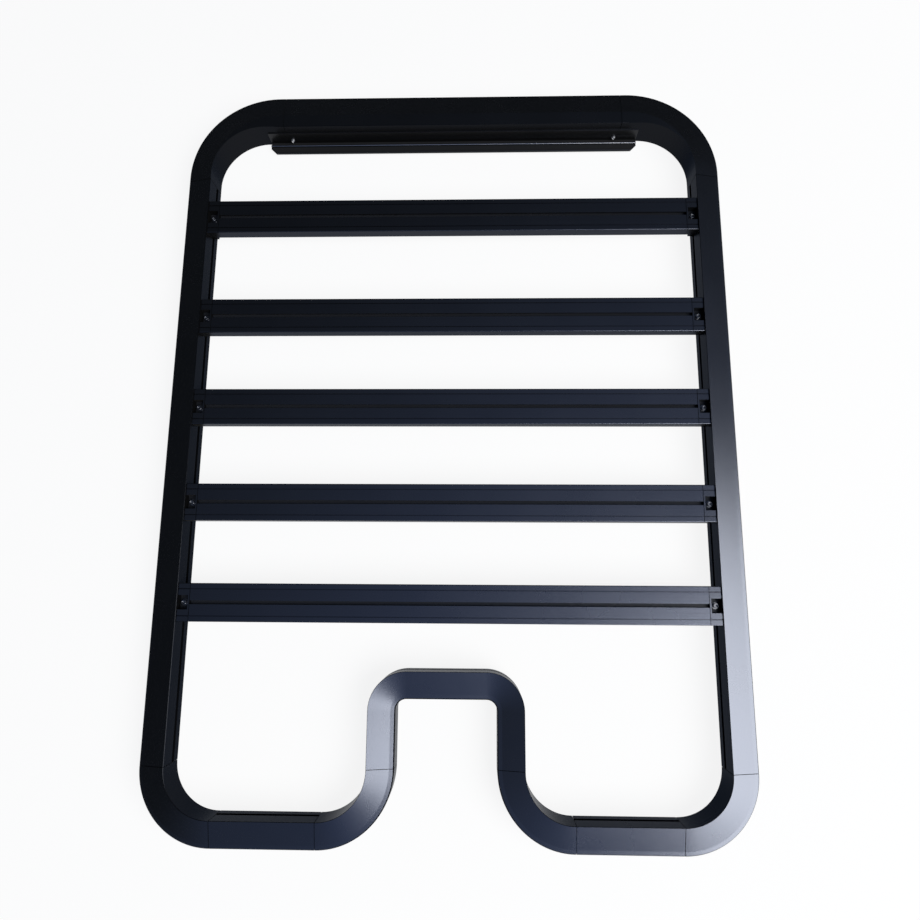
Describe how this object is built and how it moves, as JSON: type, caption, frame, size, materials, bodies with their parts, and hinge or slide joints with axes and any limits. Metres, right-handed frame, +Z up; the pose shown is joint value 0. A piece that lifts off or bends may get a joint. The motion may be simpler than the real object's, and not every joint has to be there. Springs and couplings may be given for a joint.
{
  "type": "flat platform roof rack",
  "caption": "Flat vehicle roof rack: a rounded frame of sloping rails with cast corners and a rear notch for an aerial, crossed by T-slotted slats.",
  "frame": {"origin": "on the underside, at the middle of the frame's length and width", "axes": "+Z up, +Y to the front of the rack, +X to its right"},
  "size_m": [1.25, 1.684, 0.068],
  "materials": {
    "rail_finish": "blue-black satin coat on aluminium",
    "corner_finish": "blue-black satin coat on aluminium",
    "slat_finish": "blue-black satin coat on aluminium",
    "connector_finish": "blue-black satin coat on aluminium",
    "strip_finish": "blue-black satin coat on aluminium"
  },
  "bodies": {
    "root": {"front_rail": "rail_finish", "left_side_rail": "rail_finish", "right_side_rail": "rail_finish", "rear_left_rail": "rail_finish", "rear_right_rail": "rail_finish", "notch_bow": "rail_finish", "front_left_corner": "corner_finish", "front_right_corner": "corner_finish", "rear_left_corner": "corner_finish", "rear_right_corner": "corner_finish", "notch_left_corner": "corner_finish", "notch_right_corner": "corner_finish", "slat_1": "slat_finish", "slat_2": "slat_finish", "slat_3": "slat_finish", "slat_4": "slat_finish", "slat_5": "slat_finish", "slat_1_left_connector": "connector_finish", "slat_1_right_connector": "connector_finish", "slat_2_left_connector": "connector_finish", "slat_2_right_connector": "connector_finish", "slat_3_left_connector": "connector_finish", "slat_3_right_connector": "connector_finish", "slat_4_left_connector": "connector_finish", "slat_4_right_connector": "connector_finish", "slat_5_left_connector": "connector_finish", "slat_5_right_connector": "connector_finish", "front_strip": "strip_finish"}
  },
  "joints": []
}
